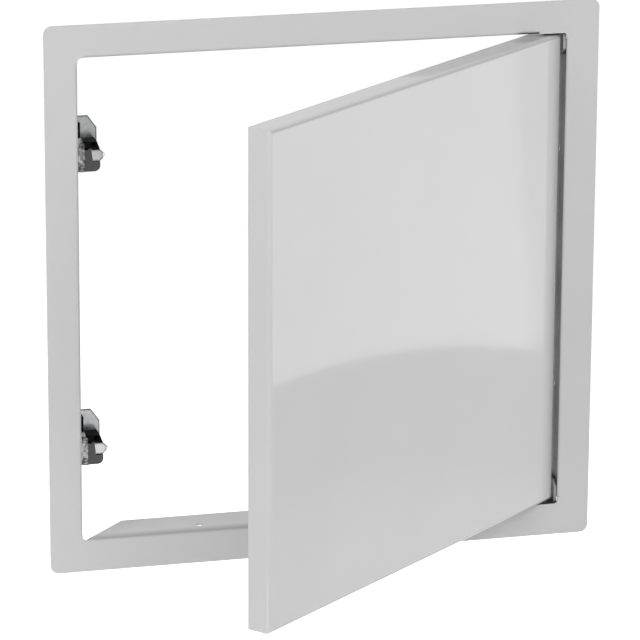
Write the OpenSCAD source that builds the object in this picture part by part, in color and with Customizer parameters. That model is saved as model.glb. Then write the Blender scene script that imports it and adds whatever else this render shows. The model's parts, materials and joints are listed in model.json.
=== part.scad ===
// Access panel: a folded sheet frame with a hinged pan door and two snap latches.
// X runs right, Z up and Y back into the ceiling or wall.
// The origin is the middle of the opening, on the plane where the flange lies on the ceiling.

/* [Opening] */
// Clear width of the opening
opening_w = 300; // [240:5:600]
// Clear height of the opening
opening_h = 300; // [240:5:600]

/* [Frame] */
// Visible width of the flange
flange_w = 20; // [14:1:40]
// Thickness of the frame's sheet
frame_t = 1.2; // [0.8:0.1:1.6]
// Rounding of the flange's outer corners
flange_corner_r = 5; // [2:0.5:10]
// Rounding of the flange's inner corners
opening_corner_r = 2; // [1:0.5:3]
// Outside radius of the fold between the flange and a return
frame_fold_r = 2; // [1.8:0.1:3]
// How far the returns reach back past the latches
return_margin = 1; // [0:0.5:20]
// How far a return's end slants in over its depth
return_slant = 27; // [5:1:30]
// Distance from a corner to the start of a return
corner_relief = 3; // [2:0.5:6]
// Distance from a corner to the hinge side's return
hinge_relief = 4; // [3:0.5:12]
// Distance from a hinge bush to the top and bottom returns beside it
pin_clear = 4; // [2:0.5:10]
// Diameter of the fixing holes in the returns
fixing_d = 4.5; // [3:0.5:5.5]
// Distance of a fixing hole from the end of its side
fixing_inset = 75; // [50:1:80]
// Depth of the fixing holes behind the flange's face
fixing_depth = 12.5; // [8:0.5:14]

/* [Door] */
// Gap round the door at the top, the bottom and the free side
door_gap = 1.5; // [1:0.1:3]
// Gap at the hinge side
hinge_gap = 3.8; // [3.5:0.1:6]
// Thickness of the door's sheet
door_t = 1; // [0.8:0.1:1.5]
// Depth of the door's folded edges
door_d = 15.5; // [13:0.5:16]
// Outside radius of the door's folds
door_fold_r = 2.5; // [2:0.1:4]
// Width of the seam left open at each corner of the pan
seam_w = 0.5; // [0.3:0.1:1]
// Angle at which the door stands open
door_open = 40; // [0:1:100]

/* [Hinge] */
// Distance of the pivot from the door's hinge edge
pivot_inset = 5.2; // [5:0.1:6]
// Depth of the pivot behind the door's face
pivot_depth = 5.2; // [5:0.1:6]
// Diameter of the hinge pins
pin_d = 4; // [3:0.5:4]
// Radial play of a pin in its bush
pin_play = 0.05; // [0.02:0.01:0.1]
// Diameter of a pin's head
pin_head_d = 7; // [6:0.5:8]
// Height of a pin's head
pin_head_h = 1.6; // [1:0.1:2.5]
// How far a pin reaches past its bush into the pan
pin_tip = 2; // [1:0.5:4]
// Wall of the bushes round the pins
bush_wall = 1.1; // [0.8:0.1:1.2]
// How far a bush's collar stands out past its sleeve
bush_collar = 1.2; // [0.6:0.1:1.5]
// Length of a bush inside the pan
bush_tail = 3; // [1:0.5:5]
// Thickness of the hinge brackets
bracket_t = 1.8; // [1.5:0.1:2.4]
// How far a hinge bracket's long leg laps over the top or bottom return
bracket_lap = 27; // [20:1:50]
// Length of a hinge bracket's short leg inside the hinge side's return
bracket_leg = 14.5; // [12:0.5:30]
// Corner cut off the short leg beside the flange
bracket_cut = 4; // [1:0.5:6]
// Depth of the hinge brackets
bracket_d = 15; // [14:1:26]

/* [Latch] */
// Distance of a latch's middle from the end of the free side
latch_inset = 58; // [50:1:80]
// Clear space between the closed door and the latches' screw heads
latch_clear = 0.5; // [0.4:0.1:3]
// Thickness of the latch bracket's sheet
plate_t = 1; // [0.6:0.1:1.5]
// Height of the bracket's plate above the housing
plate_rise = 13.5; // [10:0.1:16]
// Height of the bracket's plate below the housing
plate_drop = 0.3; // [0:0.1:4]
// Width of the bracket's cut corner
plate_cut_w = 5.3; // [2:0.1:8]
// Height of the bracket's cut corner
plate_cut_h = 7.4; // [2:0.1:8]
// Diameter of the rivets that hold the bracket
rivet_d = 2.4; // [2:0.1:2.8]
// Height of the rivets' domed heads
rivet_head = 1.1; // [0.8:0.1:1.4]
// Wall of the housing behind the spring
housing_wall = 1.8; // [1:0.1:3]
// Wall of the housing behind the tongue
housing_back = 2.1; // [1.5:0.1:4]
// Height of the housing above the tongue's channel
housing_rise = 4.2; // [3.6:0.1:10]
// Height of the housing below the tongue's channel
housing_drop = 4.9; // [3.6:0.1:8]
// How far the housing's side leans in towards its top
housing_lean = 1.8; // [0.5:0.1:2.5]
// Rounding of the housing's lower corner
housing_r = 3.5; // [1:0.5:4]
// Height of the housing's lug beside the bracket's plate
lug_h = 9.7; // [4:0.1:10]
// Width of the housing's lug
lug_w = 5; // [2:0.1:6]
// Thickness of the latch cover
cover_t = 0.8; // [0.5:0.1:1.2]
// How far the cover's edge leans out towards its lower end
cover_lean = 0.9; // [0:0.1:1.5]
// Thickness of the strap in front of the cover
strap_t = 0.6; // [0.5:0.1:1]
// Width of the strap
strap_w = 6.2; // [5:0.1:7]
// How far the strap's side leans in towards its top
strap_lean = 2.2; // [0:0.1:3]
// Height of the strap above the housing
strap_rise = 3; // [0:0.1:5]
// Size of the strap's cut lower corner
strap_cut = 3.4; // [1:0.1:4]
// Diameter of the screws that hold the latch together
screw_d = 2; // [1.6:0.1:2.4]
// Diameter of the screws' heads
screw_head_d = 3.6; // [3:0.1:4]
// Height of the screws' heads
screw_head_h = 1; // [0.8:0.1:2]
// Height of the tongue
tongue_h = 7; // [5:0.1:10]
// Depth of the tongue
tongue_d = 7.6; // [7:0.1:12]
// Length of the tongue's pointed nose
nose_l = 3.3; // [2.5:0.1:5]
// Length of the tongue's head behind the nose
head_l = 4.4; // [3:0.1:7]
// Length of the tongue's foot behind the head
foot_l = 2.6; // [2:0.1:4]
// How far the foot stands out past the tongue on each side
foot_step = 0.8; // [0.5:0.1:2]
// Travel of the tongue
tongue_travel = 3.5; // [2.5:0.1:4]
// Clearance round the tongue
slide_gap = 0.3; // [0.2:0.05:0.4]
// Length of the spring behind the tongue
spring_l = 6.7; // [5.5:0.1:10]
// Diameter of the spring
spring_d = 5; // [4:0.1:6]
// Diameter of the spring's wire
spring_wire = 0.6; // [0.4:0.05:0.7]
// Number of turns of the spring
spring_turns = 4; // [3:1:5]

/* [Keeper] */
// Thickness of the keepers' sheet
keeper_t = 1.5; // [1:0.1:2]
// Height of a keeper
keeper_h = 16; // [10:1:30]
// Clear space between the nose and the keeper
keeper_clear = 0.8; // [0.6:0.1:2]
// How far the keeper's lip hooks behind the nose
keeper_hook = 1.5; // [0.8:0.1:1.6]
// Diameter of the weld studs
stud_d = 3; // [2.5:0.5:4]
// Length of the weld studs
stud_l = 7; // [6:0.5:10]
// Distance between the two studs of a keeper
stud_step = 9; // [8:0.5:15]
// Distance of the outer studs from the ends of the keeper's foot
stud_edge = 5; // [4:0.5:8]

/* [Hidden] */
$fn = 48;
fit_gap = 0.02;
touch = 0.01;
ox = opening_w / 2;
oz = opening_h / 2;
face_y = -frame_t;

// Door, in its closed place
door_w = opening_w - door_gap - hinge_gap;
door_h = opening_h - 2 * door_gap;
door_x = (door_gap - hinge_gap) / 2;
door_back = face_y + door_d;
door_inside = face_y + door_t;
pivot_x = ox - hinge_gap - pivot_inset;
pivot_y = face_y + pivot_depth;
bush_r = pin_d / 2 + pin_play + bush_wall;
collar_r = bush_r + bush_collar;
collar_gap = 0.3;
collar_h = door_gap - collar_gap;
bracket_y = frame_fold_r - frame_t;
bracket_z = oz + frame_t;
pin_relief = hinge_gap + pivot_inset + collar_r + pin_clear;
bracket_reach = pin_relief + bracket_lap - bracket_t;
pin_end = door_h / 2 - door_t - bush_tail - pin_tip;

// Latch, measured from the return that it hangs on and from the middle of its tongue
spring_x = plate_t + housing_wall;
foot_x = spring_x + spring_l;
head_x = foot_x + foot_l;
housing_w = head_x + head_l;
nose_x = housing_w + nose_l;
cover_x = head_x - cover_lean;
strap_y = door_back + latch_clear + screw_head_h;
cover_y = strap_y + strap_t;
housing_y = cover_y + cover_t;
tongue_y = housing_y + slide_gap;
tongue_back = tongue_y + tongue_d;
tongue_mid = (tongue_y + tongue_back) / 2;
plate_y = tongue_back + slide_gap + housing_back;
rivet_head_r = 0.9 * rivet_d;
rivet_y = (housing_y + plate_y) / 2;
head_half = tongue_h / 2 + slide_gap;
foot_half = head_half + foot_step;
housing_up = foot_half + housing_rise;
housing_down = foot_half + housing_drop;
plate_up = housing_up + plate_rise;
plate_down = housing_down + plate_drop;
latch_mid = (plate_up - plate_down) / 2;
latch_z = [oz - latch_inset - latch_mid, latch_inset - oz - latch_mid];
strap_x = plate_t + strap_w;
strap_up = housing_up + strap_rise;
lug_y = rivet_y + rivet_head_r + fit_gap;
peg_gap = 0.5;
peg_d = spring_d - 2 * spring_wire - 2 * peg_gap;
peg_l = spring_l - tongue_travel - slide_gap;
rivet_z = [plate_up - rivet_head_r, housing_up + rivet_head_r];
screw_edge = 2.4;
screw_x = plate_t + screw_edge + screw_head_d / 2;
screw_z = [foot_half + housing_rise / 2, -foot_half - housing_drop / 2];
screw_slot = 0.6;
pocket_wall = 0.8;

// Returns reach from the flange's face to just past the latch bracket
return_back = plate_y + plate_t + return_margin;
return_d = return_back - face_y;

// Keeper, in the closed door's place
keeper_x = nose_x + keeper_clear;
lip_gap = 0.4;
lip_y = tongue_back + lip_gap;
keeper_foot = keeper_t + stud_step + 2 * stud_edge;
stud_gap = 0.2;
keeper_hole_d = stud_d + 2 * stud_gap;
stud_x = [for (step = [0, 1]) keeper_x + keeper_t + stud_edge + step * stud_step];
nut_w = 1.83 * stud_d;
nut_h = 0.8 * stud_d;

// Flat outline with four rounded corners
module rounded_rect(w, h, r) {
    square([w - 2 * r, h], center = true);
    square([w, h - 2 * r], center = true);
    for (x = [-1, 1], z = [-1, 1])
        translate([x * (w / 2 - r), z * (h / 2 - r)]) circle(r);
}

// Places a shape on one of the opening's four sides: right, top, left, bottom
module at_side(side) {
    rotate([0, -90 * side, 0])
        translate([side % 2 == 0 ? ox : oz, 0, 0])
            children();
}

function side_length(side) = side % 2 == 0 ? opening_h : opening_w;
function relief_low(side) = [hinge_relief, pin_relief, corner_relief, corner_relief][side];
function relief_high(side) = [hinge_relief, corner_relief, corner_relief, pin_relief][side];

// Section through a return: a quarter fold from the flange, then straight back
module return_profile() {
    translate([0, frame_fold_r - frame_t])
        square([frame_t, return_d - frame_fold_r]);
    translate([frame_fold_r, frame_fold_r - frame_t])
        intersection() {
            difference() {
                circle(frame_fold_r);
                circle(frame_fold_r - frame_t);
            }
            translate([-frame_fold_r, -frame_fold_r])
                square(frame_fold_r);
        }
}

// One return with slanted ends
module return_sheet(side) {
    low = relief_low(side) - side_length(side) / 2;
    high = side_length(side) / 2 - relief_high(side);
    intersection() {
        linear_extrude(side_length(side), center = true)
            return_profile();
        translate([frame_fold_r + 1, 0, 0])
            rotate([0, -90, 0])
                linear_extrude(frame_fold_r + 2)
                    polygon([[low, face_y - 1], [high, face_y - 1], [high, frame_fold_r - frame_t],
                        [high - return_slant, return_back], [low + return_slant, return_back],
                        [low, frame_fold_r - frame_t]]);
    }
}

// Flat flange with the opening and the strips that the folds take up cut out
module flange_sheet() {
    rotate([90, 0, 0])
        linear_extrude(frame_t)
            difference() {
                rounded_rect(opening_w + 2 * flange_w, opening_h + 2 * flange_w, flange_corner_r);
                rounded_rect(opening_w, opening_h, opening_corner_r);
                for (side = [0:3])
                    rotate(90 * side)
                        translate([side % 2 == 0 ? ox : oz, relief_low(side) - side_length(side) / 2])
                            square([frame_fold_r, side_length(side) - relief_low(side) - relief_high(side)]);
            }
}

// Two fixing holes through each return
module fixing_holes() {
    for (side = [0:3], end = [-1, 1])
        at_side(side)
            translate([-1, face_y + fixing_depth, end * (side_length(side) / 2 - fixing_inset)])
                rotate([0, 90, 0])
                    cylinder(d = fixing_d, h = frame_t + 2);
}

module frame() {
    color("gainsboro")
        difference() {
            union() {
                flange_sheet();
                for (side = [0:3])
                    at_side(side) return_sheet(side);
            }
            fixing_holes();
            for (z = latch_z)
                at_latch(z) rivet_shanks(rivet_d + 2 * fit_gap);
        }
}

// Turns a shape about the hinge from its closed place to where the door stands
module on_door() {
    translate([pivot_x, pivot_y, 0])
        rotate([0, 0, door_open])
            translate([-pivot_x, -pivot_y, 0])
                children();
}

// Places a shape on the hinge axis, upright at the top and mirrored at the bottom
module at_pivot(end) {
    mirror([0, 0, end < 0 ? 1 : 0])
        translate([pivot_x, pivot_y, 0])
            children();
}

// Angle bracket at a hinge corner, its long leg outside one return and its short leg inside the other
module hinge_bracket(end) {
    color("gainsboro")
        mirror([0, 0, end < 0 ? 1 : 0])
            difference() {
                translate([ox - bracket_t, bracket_y, bracket_z])
                    rotate([-90, 0, 0])
                        linear_extrude(bracket_d)
                            angle_section(bracket_reach, frame_t + bracket_leg, bracket_t);
                translate([pivot_x, pivot_y, bracket_z - 1])
                    cylinder(d = pin_d + 2 * fit_gap, h = bracket_t + 2);
                translate([ox - bracket_t / 2, bracket_y, oz - bracket_leg])
                    rotate([45, 0, 0])
                        cube([bracket_t + 2, sqrt(2) * bracket_cut, sqrt(2) * bracket_cut], center = true);
            }
}

// Angle section whose inside corner is the origin, with a rounded outside corner
module angle_section(long_leg, short_leg, t) {
    translate([-long_leg, -t])
        square([long_leg, t]);
    square([t, short_leg]);
    intersection() {
        circle(t);
        translate([0, -t])
            square(t);
    }
}

// Hinge pin with its head outside the bracket and a pointed tip
module hinge_pin(end) {
    color("silver")
        at_pivot(end) {
            translate([0, 0, bracket_z + bracket_t])
                cylinder(d = pin_head_d, h = pin_head_h);
            translate([0, 0, pin_end])
                cylinder(d = pin_d, h = bracket_z + bracket_t - pin_end);
            translate([0, 0, pin_end - pin_d / 4])
                cylinder(d1 = pin_d / 2, d2 = pin_d, h = pin_d / 4);
        }
}

// Bush in the pan's edge, with a collar that keeps the door off the bracket
module hinge_bush(end) {
    color("dimgray")
        on_door() at_pivot(end)
            difference() {
                union() {
                    translate([0, 0, door_h / 2])
                        cylinder(r = collar_r, h = collar_h);
                    translate([0, 0, door_h / 2 - door_t - bush_tail])
                        cylinder(r = bush_r, h = door_t + bush_tail);
                }
                translate([0, 0, door_h / 2 - door_t - bush_tail - 1])
                    cylinder(r = pin_d / 2 + pin_play, h = door_t + bush_tail + collar_h + 2);
            }
}

// Outline of a folded pan across its width, face at y = 0
module pan_outline(w, d, r) {
    translate([-w / 2, r]) square([w, d - r]);
    translate([r - w / 2, 0]) square([w - 2 * r, d]);
    for (end = [-1, 1])
        translate([end * (w / 2 - r), r]) circle(r);
}

// Block with all four edges of its face rounded
module pan_block(w, h, d, r) {
    intersection() {
        linear_extrude(h, center = true) pan_outline(w, d, r);
        rotate([0, 90, 0])
            linear_extrude(w, center = true) pan_outline(h, d, r);
    }
}

// Open seams at the corners, where the pan's edges meet
module pan_seams() {
    for (x = [-1, 1], z = [-1, 1])
        translate([x * (door_w / 2 - door_t - seam_w / 2) - seam_w / 2, door_fold_r,
                z * (door_h / 2 - door_t / 2) - door_t / 2 - touch])
            cube([seam_w, door_d, door_t + 2 * touch]);
}

module door_panel() {
    color("whitesmoke")
        on_door() difference() {
            translate([door_x, face_y, 0])
                difference() {
                    pan_block(door_w, door_h, door_d, door_fold_r);
                    translate([0, door_t, 0])
                        pan_block(door_w - 2 * door_t, door_h - 2 * door_t, door_d, door_fold_r - door_t);
                    pan_seams();
                }
            for (end = [-1, 1])
                at_pivot(end)
                    translate([0, 0, door_h / 2 - door_t - 1])
                        cylinder(r = bush_r + fit_gap, h = door_t + 2);
        }
}

// Places a shape on the latch side, at a tongue's height
module at_latch(z) {
    translate([-ox, 0, z]) children();
}

// Cylinder along the depth, from one depth to another
module along_y(x, z, d, from, to) {
    translate([x, from, z])
        rotate([-90, 0, 0])
            cylinder(d = d, h = to - from);
}

// Keeper: a foot on the back of the door, a leg past the nose and a lip behind it
module keeper(z) {
    color("silver")
        on_door() at_latch(z)
            difference() {
                translate([keeper_x, 0, -keeper_h / 2])
                    linear_extrude(keeper_h) {
                        translate([0, door_inside]) square([keeper_foot, keeper_t]);
                        translate([0, door_inside]) square([keeper_t, lip_y + keeper_t - door_inside]);
                        translate([-keeper_clear - keeper_hook, lip_y])
                            square([keeper_clear + keeper_hook + keeper_t, keeper_t]);
                    }
                for (x = stud_x)
                    along_y(x, 0, keeper_hole_d, door_inside - 1, door_inside + keeper_t + 1);
            }
}

// Weld studs on the back of the door
module keeper_studs() {
    color("silver")
        on_door()
            for (z = latch_z, x = stud_x)
                at_latch(z)
                    along_y(x, 0, stud_d, door_inside, door_inside + stud_l);
}

// Hexagon nuts on the weld studs
module keeper_nuts() {
    color("silver")
        on_door()
            for (z = latch_z, x = stud_x)
                at_latch(z)
                    translate([x, door_inside + keeper_t, 0])
                        rotate([-90, 0, 0])
                            difference() {
                                cylinder(d = nut_w / cos(30), h = nut_h, $fn = 6);
                                translate([0, 0, -1])
                                    cylinder(d = stud_d + 2 * fit_gap, h = nut_h + 2);
                            }
}

// Rivet shanks through the return and the latch bracket
module rivet_shanks(d) {
    for (z = rivet_z)
        translate([-frame_t - rivet_head / 2, rivet_y, z])
            rotate([0, 90, 0])
                cylinder(d = d, h = frame_t + plate_t + rivet_head);
}

// Screw shanks through strap, cover, housing and bracket
module screw_shanks(d) {
    for (height = screw_z)
        along_y(screw_x, height, d, strap_y, plate_y + plate_t);
}

// Latch bracket: a leg on the return and a plate behind the housing with one corner cut off
module latch_bracket(z) {
    color("silver")
        at_latch(z) difference() {
            translate([plate_t, plate_y, -plate_down])
                linear_extrude(plate_up + plate_down) {
                    square([housing_w - plate_t, plate_t]);
                    translate([-plate_t, housing_y - plate_y]) square([plate_t, plate_y - housing_y]);
                    intersection() {
                        circle(plate_t);
                        translate([-plate_t, 0]) square(plate_t);
                    }
                }
            translate([0, plate_y + plate_t + 1, 0])
                rotate([90, 0, 0])
                    linear_extrude(plate_t + 2)
                        polygon([[housing_w + 1, plate_up + 1], [housing_w - plate_cut_w, plate_up + 1],
                            [housing_w - plate_cut_w, plate_up], [housing_w, plate_up - plate_cut_h],
                            [housing_w + 1, plate_up - plate_cut_h]]);
            screw_shanks(screw_d + 2 * fit_gap);
            rivet_shanks(rivet_d + 2 * fit_gap);
        }
}

// Domed rivets from the outside of the return to the inside of the bracket
module latch_rivets(z) {
    color("silver")
        at_latch(z) {
            rivet_shanks(rivet_d);
            for (height = rivet_z) {
                translate([plate_t, rivet_y, height])
                    rotate([0, 90, 0]) rivet_dome();
                translate([-frame_t, rivet_y, height])
                    rotate([0, -90, 0]) rivet_dome();
            }
        }
}

// Low dome of a rivet's head, a slice of a ball
module rivet_dome() {
    ball_r = (rivet_head_r * rivet_head_r + rivet_head * rivet_head) / (2 * rivet_head);
    intersection() {
        translate([0, 0, rivet_head - ball_r]) sphere(ball_r);
        cylinder(r = rivet_head_r + 1, h = rivet_head + 1);
    }
}

// Outline of housing and cover from the front: a leaning side and a rounded lower corner
module housing_outline() {
    polygon([[plate_t, housing_r - housing_down], [housing_w, housing_r - housing_down],
        [housing_w, head_half], [housing_w - housing_lean, housing_up], [plate_t, housing_up]]);
    translate([plate_t, -housing_down])
        square([housing_w - plate_t - housing_r, housing_r]);
    translate([housing_w - housing_r, housing_r - housing_down])
        circle(housing_r);
}

// Extrudes a front outline back from one depth to another
module front_extrude(from, to) {
    translate([0, to, 0])
        rotate([90, 0, 0])
            linear_extrude(to - from)
                children();
}

// Housing with a channel for the tongue, a wider one for its foot, a pocket above and a lug at the plate
module latch_housing(z) {
    pocket_w = housing_w - housing_lean - cover_x - pocket_wall;
    color("dimgray")
        at_latch(z) difference() {
            union() {
                front_extrude(housing_y, plate_y) housing_outline();
                translate([plate_t, lug_y, housing_up - 1])
                    cube([lug_w, plate_y - lug_y, lug_h + 1]);
            }
            front_extrude(housing_y - 1, tongue_back + slide_gap)
                union() {
                    translate([spring_x, -foot_half])
                        square([head_x - slide_gap - spring_x, 2 * foot_half]);
                    translate([head_x - 1, -head_half])
                        square([housing_w + 2 - head_x, 2 * head_half]);
                }
            front_extrude(housing_y - 1, tongue_mid)
                translate([cover_x, foot_half + pocket_wall])
                    square([pocket_w, housing_rise - 2 * pocket_wall]);
            screw_shanks(screw_d + 2 * fit_gap);
        }
}

// Cover that keeps the tongue and its spring in the housing, cut back to the strap above the tongue
module latch_cover(z) {
    color("gray")
        at_latch(z) difference() {
            front_extrude(cover_y, housing_y)
                difference() {
                    housing_outline();
                    polygon([[strap_x - strap_lean, strap_up], [strap_x, head_half], [cover_x, head_half],
                        [head_x, -head_half], [housing_w + 1, -head_half], [housing_w + 1, strap_up]]);
                }
            screw_shanks(screw_d + 2 * fit_gap);
        }
}

// Strap that the screws clamp on the cover, with a leaning side and a cut lower corner
module latch_strap(z) {
    color("silver")
        at_latch(z) difference() {
            front_extrude(strap_y, cover_y)
                polygon([[plate_t, strap_cut - housing_down], [plate_t + strap_cut, -housing_down],
                    [strap_x, -housing_down], [strap_x, head_half],
                    [strap_x - strap_lean, strap_up], [plate_t, strap_up]]);
            screw_shanks(screw_d + 2 * fit_gap);
        }
}

// Slotted screws through strap, cover, housing and bracket
module latch_screws(z) {
    color("silver")
        at_latch(z) {
            screw_shanks(screw_d);
            for (height = screw_z)
                difference() {
                    along_y(screw_x, height, screw_head_d, strap_y - screw_head_h, strap_y);
                    translate([screw_x, strap_y - screw_head_h, height])
                        cube([screw_head_d + 1, screw_head_h, screw_slot], center = true);
                }
        }
}

// Tongue: a foot with a spring peg, a head and a nose pointed in height and in depth
module latch_tongue(z) {
    half = tongue_h / 2;
    tip_half = half / 6;
    color("ghostwhite")
        at_latch(z) {
            intersection() {
                front_extrude(tongue_y, tongue_back)
                    polygon([[head_x, -half], [housing_w, -half], [nose_x, -tip_half], [nose_x, tip_half],
                        [housing_w, half], [head_x, half]]);
                translate([0, 0, -half])
                    linear_extrude(tongue_h)
                        polygon([[head_x, tongue_y], [housing_w + nose_l / 2, tongue_y],
                            [nose_x, tongue_y + nose_l / 2], [nose_x, tongue_mid],
                            [housing_w, tongue_back], [head_x, tongue_back]]);
            }
            translate([foot_x, tongue_y, -half - foot_step])
                cube([foot_l - 2 * slide_gap, tongue_d, tongue_h + 2 * foot_step]);
            translate([foot_x, tongue_y, -half])
                cube([foot_l + touch, tongue_d, tongue_h]);
            translate([foot_x - peg_l, tongue_mid, 0])
                rotate([0, 90, 0]) cylinder(d = peg_d, h = peg_l);
        }
}

// Coil spring along X: rings of points on a helix, joined into one tube
module latch_spring(z) {
    ring_sides = 6;
    turn_steps = 14;
    coil_r = (spring_d - spring_wire) / 2;
    wire_r = spring_wire / 2;
    steps = turn_steps * spring_turns;
    run = spring_l - 2 * wire_r - 2 * fit_gap;
    points = [for (k = [0:steps], j = [0:ring_sides - 1])
        let (turn = 360 * k / turn_steps, around = 360 * j / ring_sides)
        let (r = coil_r + wire_r * cos(around))
        [run * k / steps + wire_r * sin(around), r * cos(turn), r * sin(turn)]];
    walls = [for (k = [0:steps - 1], j = [0:ring_sides - 1])
        let (next = (j + 1) % ring_sides)
        [k * ring_sides + j, (k + 1) * ring_sides + j, (k + 1) * ring_sides + next, k * ring_sides + next]];
    first_cap = [for (j = [0:ring_sides - 1]) j];
    last_cap = [for (j = [ring_sides - 1:-1:0]) steps * ring_sides + j];
    color("silver")
        at_latch(z)
            translate([spring_x + wire_r + fit_gap, tongue_mid, 0])
                polyhedron(points, concat(walls, [first_cap, last_cap]));
}

frame();
hinge_bracket(1);  // hinge_bracket_top
hinge_bracket(-1);  // hinge_bracket_bottom
hinge_pin(1);  // hinge_pin_top
hinge_pin(-1);  // hinge_pin_bottom
hinge_bush(1);  // hinge_bush_top
hinge_bush(-1);  // hinge_bush_bottom
door_panel();
keeper(latch_z[0]);  // keeper_upper
keeper(latch_z[1]);  // keeper_lower
keeper_studs();
keeper_nuts();
latch_bracket(latch_z[0]);  // latch_bracket_upper
latch_bracket(latch_z[1]);  // latch_bracket_lower
latch_rivets(latch_z[0]);  // latch_rivets_upper
latch_rivets(latch_z[1]);  // latch_rivets_lower
latch_housing(latch_z[0]);  // latch_housing_upper
latch_housing(latch_z[1]);  // latch_housing_lower
latch_cover(latch_z[0]);  // latch_cover_upper
latch_cover(latch_z[1]);  // latch_cover_lower
latch_strap(latch_z[0]);  // latch_strap_upper
latch_strap(latch_z[1]);  // latch_strap_lower
latch_screws(latch_z[0]);  // latch_screws_upper
latch_screws(latch_z[1]);  // latch_screws_lower
latch_spring(latch_z[0]);  // latch_spring_upper
latch_spring(latch_z[1]);  // latch_spring_lower
latch_tongue(latch_z[0]);  // latch_tongue_upper
latch_tongue(latch_z[1]);  // latch_tongue_lower
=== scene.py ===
"""Looks of a sheet-steel access panel, laid out as an add-on and run as a script.

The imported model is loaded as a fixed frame. Each operator finishes one group of pieces: it gives
the solids their materials, or winds, threads or turns a piece that stands for a plain solid.
"""

import json
import math

import bmesh
import bpy
import numpy as np
from bpy.props import FloatProperty, FloatVectorProperty, IntProperty, PointerProperty
from mathutils import Matrix, Vector


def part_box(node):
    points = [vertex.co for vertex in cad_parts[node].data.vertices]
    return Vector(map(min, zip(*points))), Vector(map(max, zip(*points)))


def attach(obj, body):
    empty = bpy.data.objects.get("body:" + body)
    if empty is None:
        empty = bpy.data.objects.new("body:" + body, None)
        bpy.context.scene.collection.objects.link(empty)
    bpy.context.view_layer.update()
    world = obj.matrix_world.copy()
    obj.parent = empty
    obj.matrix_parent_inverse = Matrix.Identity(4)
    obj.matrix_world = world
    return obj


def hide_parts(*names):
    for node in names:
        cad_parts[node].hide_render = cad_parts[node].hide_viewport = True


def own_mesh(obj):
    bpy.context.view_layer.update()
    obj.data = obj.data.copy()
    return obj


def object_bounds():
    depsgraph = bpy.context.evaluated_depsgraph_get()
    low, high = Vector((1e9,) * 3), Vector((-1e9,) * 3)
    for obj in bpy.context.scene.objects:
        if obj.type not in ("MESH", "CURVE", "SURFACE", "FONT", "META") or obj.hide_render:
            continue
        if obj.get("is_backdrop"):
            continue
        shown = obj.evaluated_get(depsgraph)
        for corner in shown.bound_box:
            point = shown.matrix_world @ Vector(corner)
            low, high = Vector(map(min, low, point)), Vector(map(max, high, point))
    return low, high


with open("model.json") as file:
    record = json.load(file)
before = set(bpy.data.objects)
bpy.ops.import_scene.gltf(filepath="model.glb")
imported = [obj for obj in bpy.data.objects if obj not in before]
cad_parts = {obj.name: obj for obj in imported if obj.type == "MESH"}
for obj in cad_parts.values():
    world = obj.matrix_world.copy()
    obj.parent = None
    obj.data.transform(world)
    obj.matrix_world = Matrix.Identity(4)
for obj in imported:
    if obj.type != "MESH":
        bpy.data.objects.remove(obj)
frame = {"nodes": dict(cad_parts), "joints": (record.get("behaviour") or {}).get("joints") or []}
cad_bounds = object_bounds()

bl_info = {
    "name": "Access panel",
    "version": (1, 0, 0),
    "blender": (4, 5, 0),
    "location": "3D View > Sidebar > Access panel",
    "description": "Finishes and small parts of a hinged sheet-steel access panel",
    "category": "Object",
}

MM = 0.001
LEVELS = ("upper", "lower")
ENDS = ("top", "bottom")
HINGE = next(joint for joint in frame["joints"] if joint["type"] == "hinge")
PIVOT = np.array(HINGE["pos_m"])
SWING_SHUT = math.radians(HINGE["range_deg"][0])

# Front of the frame's flange along y
FLANGE_FRONT = -1 * MM

# Sides of round pieces, and steps along the wire, the thread and a rivet's dome
TURNED_SIDES = 32
WIRE_SIDES = 12
WIRE_STEPS_PER_TURN = 40
THREAD_SIDES = 24
THREAD_STEPS_PER_PITCH = 8
NUT_SIDES = 72
DOME_STEPS = 9

# How a made mesh is closed and shaded
SEAM_GAP = 0.001 * MM
SHARP_ANGLE = math.radians(35)

# How steep a thread is, how much of its crest is cut flat, and how many depths its tip tapers
THREAD_SLOPE = 1.3
THREAD_CREST = 0.15
THREAD_TIP = 1.5

# Shares of a hexagon nut's width over flats, and the angle of its chamfer
NUT_LAND = 0.95
NUT_COUNTERSINK = 0.08
NUT_CHAMFER = math.radians(30)

# Where the row of spot welds begins and ends, as shares of a hinge bracket's width
WELD_ROW = (0.12, 0.36)

# Levels between which a finish goes from one state to the other
CLOUD_RANGE = (0.3, 0.7)
EDGE_TURN = (0.99, 0.88)
GAP_OPENNESS = (0.62, 0.42)
LOOKING_BACK = (0.9, 0.5)

# Levels at which a line of painted shade begins, is strongest and ends
FOLD_FADE = (0, 0.16, 1)
BEND_LEAN = (0.08, 0.45, 0.97)

# Rays that feel for edges and for the narrow gaps where shade is painted
EDGE_RAYS = 6
GAP_RAYS = 8

# Half the width of the floor, and how far the camera sees, in metres
FLOOR_HALF = 6.0
VIEW_END = 50

# Each lamp's name, place, target, width and height in metres
CENTRE = (0, 0, 0)
LAMPS = (
    ("key", (-0.8, -0.75, 0.95), CENTRE, 1.4, 0.8),
    ("front", (0.2, -1.8, 1.2), CENTRE, 1.4, 1.0),
    ("low", (-0.5, -0.45, -0.42), (-0.08, -0.17, -0.15), 0.25, 0.25),
    ("side", (1.5, -0.445, 0.0935), (0, -0.445, 0.0935), 1.2, 1.163),
    ("rear_side", (1.5, 0.455, 0.1), (0, 0.455, 0.1), 0.6, 1.15),
    ("back", (0.9, 1.2, 0.5), CENTRE, 1.0, 1.0),
    ("inner", (-0.9, 1.1, 0.1), CENTRE, 0.8, 0.8),
)
LAMPS_NOT_REFLECTED = ("back", "inner")


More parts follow.
